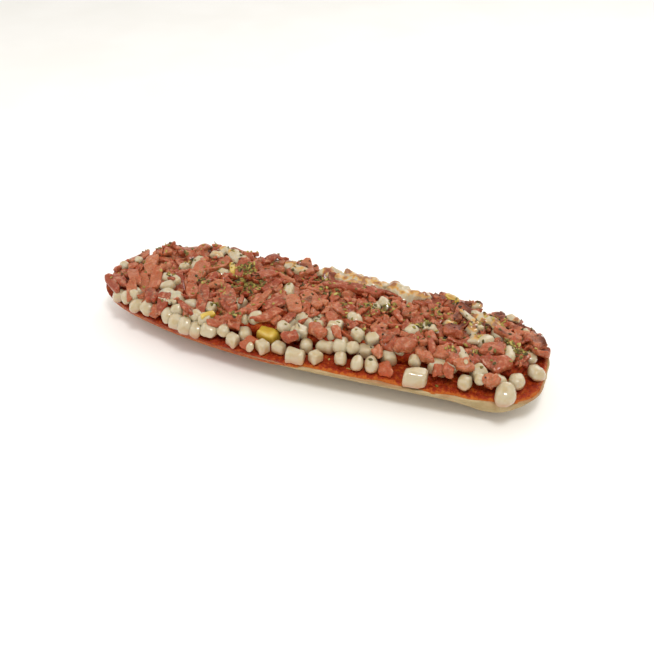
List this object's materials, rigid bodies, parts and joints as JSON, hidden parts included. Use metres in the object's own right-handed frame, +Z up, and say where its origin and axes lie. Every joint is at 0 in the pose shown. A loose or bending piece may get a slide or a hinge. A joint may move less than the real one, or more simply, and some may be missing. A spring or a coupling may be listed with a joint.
{
  "type": "pizza baguette",
  "caption": "Half a baguette lying cut face up, spread with tomato sauce and heaped with strips and dice of ham, pieces of white cheese and dried herbs.",
  "frame": {"origin": "centre of the bounding box's bottom face, on the flat spot under the loaf", "axes": "+X along the loaf towards the end with bare sauce, +Y across it away from the side where single pieces of cheese stand, +Z up"},
  "size_m": [0.2411, 0.0794, 0.0311],
  "materials": {
    "bread": "pale baked crumb and crust, matt",
    "sauce": "cooked tomato sauce, pulpy and wet",
    "ham": "cooked ham, moist and fibrous",
    "cheese": "half-melted white cheese, smooth and waxy",
    "yellow_cheese": "half-melted yellow cheese, smooth and waxy"
  },
  "bodies": {
    "root": {"bread_half": "bread", "tomato_sauce": "sauce", "ham_and_cheese_heap": "ham", "cheese_chunk_01": "cheese", "cheese_chunk_02": "cheese", "cheese_chunk_03": "cheese", "cheese_chunk_04": "cheese", "cheese_chunk_05": "cheese", "cheese_chunk_06": "cheese", "cheese_chunk_07": "cheese", "cheese_chunk_08": "cheese", "ham_chunk_09": "ham", "cheese_chunk_10": "cheese", "cheese_chunk_11": "cheese", "cheese_chunk_12": "cheese", "cheese_chunk_13": "cheese", "cheese_chunk_14": "cheese", "cheese_chunk_15": "cheese", "cheese_chunk_16": "cheese", "cheese_chunk_17": "cheese", "cheese_chunk_18": "cheese", "cheese_chunk_19": "cheese", "cheese_chunk_20": "cheese", "yellow_cheese_chunk_21": "yellow_cheese", "cheese_chunk_22": "cheese", "cheese_chunk_23": "cheese", "ham_chunk_24": "ham"}
  },
  "joints": []
}
